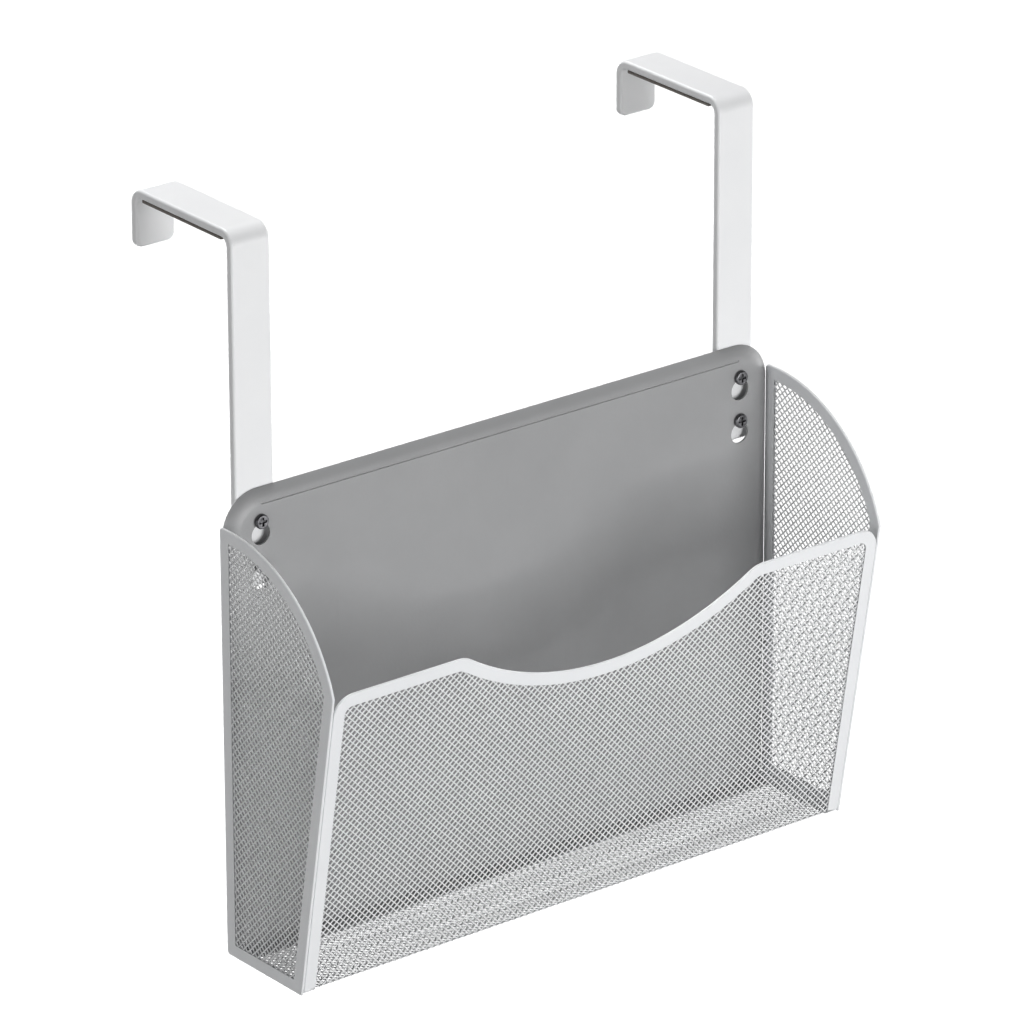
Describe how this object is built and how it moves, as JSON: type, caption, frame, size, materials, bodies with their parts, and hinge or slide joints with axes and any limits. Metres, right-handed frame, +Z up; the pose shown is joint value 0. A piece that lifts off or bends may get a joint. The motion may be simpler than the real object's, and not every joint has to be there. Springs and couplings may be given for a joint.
{
  "type": "magazine file holder",
  "caption": "Wall file pocket in white steel mesh with a solid back panel, a front that dips in a wave, and flat hooks that hang it over a door or partition.",
  "frame": {"origin": "middle of the door's top front edge: on the face the hook bars stand against (Y = 0), level with the underside of the hook pads (Z = 0), midway between the hooks (X = 0)", "axes": "+Z up, +Y from the pocket towards the door's far side, +X to the right of someone facing the pocket"},
  "size_m": [0.33, 0.1653, 0.361],
  "materials": {
    "panel_coat": "satin white powder coat",
    "frame_coat": "satin white powder coat",
    "mesh_coat": "satin white powder coat",
    "hook_coat": "satin white powder coat",
    "pad": "matte closed-cell foam",
    "screw": "dark zinc plate"
  },
  "bodies": {
    "hooks": {"left_hook": "hook_coat", "left_hook_pad": "pad", "left_upper_screw": "screw", "left_lower_screw": "screw", "right_hook": "hook_coat", "right_hook_pad": "pad", "right_upper_screw": "screw", "right_lower_screw": "screw"},
    "pocket": {"back_panel": "panel_coat", "left_side_frame": "frame_coat", "left_side_mesh": "mesh_coat", "right_side_frame": "frame_coat", "right_side_mesh": "mesh_coat", "front_frame": "frame_coat", "front_mesh": "mesh_coat"}
  },
  "joints": [
    {"name": "pocket_lift", "type": "slide", "parent": "hooks", "child": "pocket", "axis": [0, 0, 1], "range_m": [0, 0.0066]}
  ]
}
